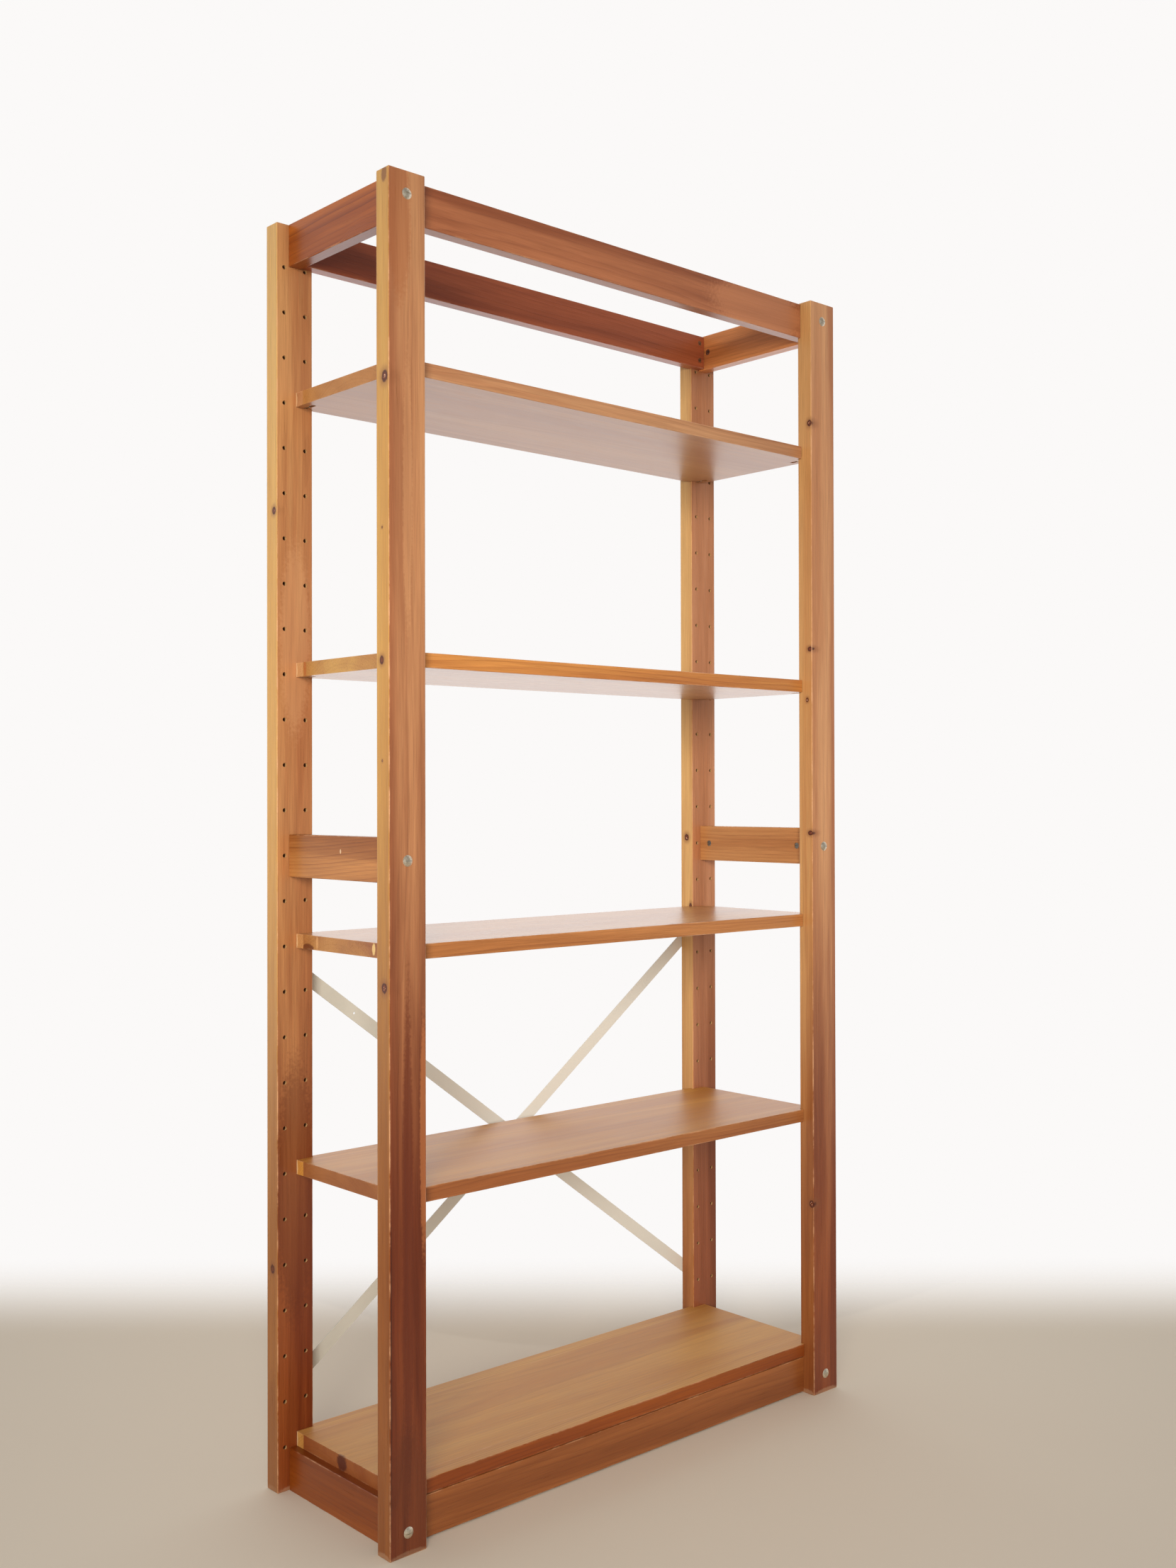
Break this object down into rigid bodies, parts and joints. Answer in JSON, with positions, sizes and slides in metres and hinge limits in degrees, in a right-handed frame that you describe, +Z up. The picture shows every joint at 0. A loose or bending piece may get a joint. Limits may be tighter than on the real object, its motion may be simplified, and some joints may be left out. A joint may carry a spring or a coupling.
{
  "type": "bookcase",
  "caption": "Open pine bookcase with four flat uprights, bolted end frames, shelves on movable steel pins, and a crossed steel strap brace at the back.",
  "frame": {"origin": "on the floor, in the middle of the overall width and depth", "axes": "+X to the right seen from the front, -Y towards the front, +Z up"},
  "size_m": [0.895, 0.3064, 1.788],
  "materials": {
    "frame_pine": "satin",
    "shelf_veneer": "satin",
    "lipping_pine": "satin",
    "nickel": "satin",
    "steel": "satin",
    "strap_steel": "satin"
  },
  "bodies": {
    "frame": {"front_left_upright": "frame_pine", "front_right_upright": "frame_pine", "rear_left_upright": "frame_pine", "rear_right_upright": "frame_pine", "top_left_side_rail": "frame_pine", "top_right_side_rail": "frame_pine", "middle_left_side_rail": "frame_pine", "middle_right_side_rail": "frame_pine", "bottom_left_side_rail": "frame_pine", "bottom_right_side_rail": "frame_pine", "top_front_rail": "frame_pine", "top_rear_rail": "frame_pine", "bottom_front_rail": "frame_pine", "bottom_rear_rail": "frame_pine", "frame_bolts": "nickel", "barrel_nuts": "steel", "rail_screws": "steel", "inner_strap": "strap_steel", "outer_strap": "strap_steel", "strap_screws": "strap_steel", "strap_rivet": "strap_steel"},
    "shelf_1": {"shelf_1_core": "shelf_veneer", "shelf_1_front_lipping": "lipping_pine", "shelf_1_rear_lipping": "lipping_pine"},
    "shelf_2": {"shelf_2_core": "shelf_veneer", "shelf_2_front_lipping": "lipping_pine", "shelf_2_rear_lipping": "lipping_pine"},
    "shelf_3": {"shelf_3_core": "shelf_veneer", "shelf_3_front_lipping": "lipping_pine", "shelf_3_rear_lipping": "lipping_pine"},
    "shelf_4": {"shelf_4_core": "shelf_veneer", "shelf_4_front_lipping": "lipping_pine", "shelf_4_rear_lipping": "lipping_pine"},
    "bottom_shelf": {"bottom_shelf_core": "shelf_veneer", "bottom_shelf_front_lipping": "lipping_pine", "bottom_shelf_rear_lipping": "lipping_pine"},
    "shelf_1_front_pins": {"shelf_1_front_pins": "steel"},
    "shelf_1_rear_pins": {"shelf_1_rear_pins": "steel"},
    "shelf_2_front_pins": {"shelf_2_front_pins": "steel"},
    "shelf_2_rear_pins": {"shelf_2_rear_pins": "steel"},
    "shelf_3_front_pins": {"shelf_3_front_pins": "steel"},
    "shelf_3_rear_pins": {"shelf_3_rear_pins": "steel"},
    "shelf_4_front_pins": {"shelf_4_front_pins": "steel"},
    "shelf_4_rear_pins": {"shelf_4_rear_pins": "steel"}
  },
  "joints": [
    {"name": "shelf_1_lift", "type": "slide", "parent": "frame", "child": "shelf_1", "axis": [0, 0, 1], "range_m": [0, 0.173]},
    {"name": "shelf_2_lift", "type": "slide", "parent": "frame", "child": "shelf_2", "axis": [0, 0, 1], "range_m": [0, 0.36]},
    {"name": "shelf_3_lift", "type": "slide", "parent": "frame", "child": "shelf_3", "axis": [0, 0, 1], "range_m": [0, 0.077]},
    {"name": "shelf_4_lift", "type": "slide", "parent": "frame", "child": "shelf_4", "axis": [0, 0, 1], "range_m": [0, 0.296]},
    {"name": "bottom_shelf_lift", "type": "slide", "parent": "frame", "child": "bottom_shelf", "axis": [0, 0, 1], "range_m": [0, 0.359]},
    {"name": "shelf_1_front_pins_pull", "type": "slide", "parent": "frame", "child": "shelf_1_front_pins", "axis": [0, 1, 0], "range_m": [0, 0.01]},
    {"name": "shelf_1_rear_pins_pull", "type": "slide", "parent": "frame", "child": "shelf_1_rear_pins", "axis": [0, -1, 0], "range_m": [0, 0.01]},
    {"name": "shelf_2_front_pins_pull", "type": "slide", "parent": "frame", "child": "shelf_2_front_pins", "axis": [0, 1, 0], "range_m": [0, 0.01]},
    {"name": "shelf_2_rear_pins_pull", "type": "slide", "parent": "frame", "child": "shelf_2_rear_pins", "axis": [0, -1, 0], "range_m": [0, 0.01]},
    {"name": "shelf_3_front_pins_pull", "type": "slide", "parent": "frame", "child": "shelf_3_front_pins", "axis": [0, 1, 0], "range_m": [0, 0.01]},
    {"name": "shelf_3_rear_pins_pull", "type": "slide", "parent": "frame", "child": "shelf_3_rear_pins", "axis": [0, -1, 0], "range_m": [0, 0.01]},
    {"name": "shelf_4_front_pins_pull", "type": "slide", "parent": "frame", "child": "shelf_4_front_pins", "axis": [0, 1, 0], "range_m": [0, 0.01]},
    {"name": "shelf_4_rear_pins_pull", "type": "slide", "parent": "frame", "child": "shelf_4_rear_pins", "axis": [0, -1, 0], "range_m": [0, 0.01]}
  ]
}
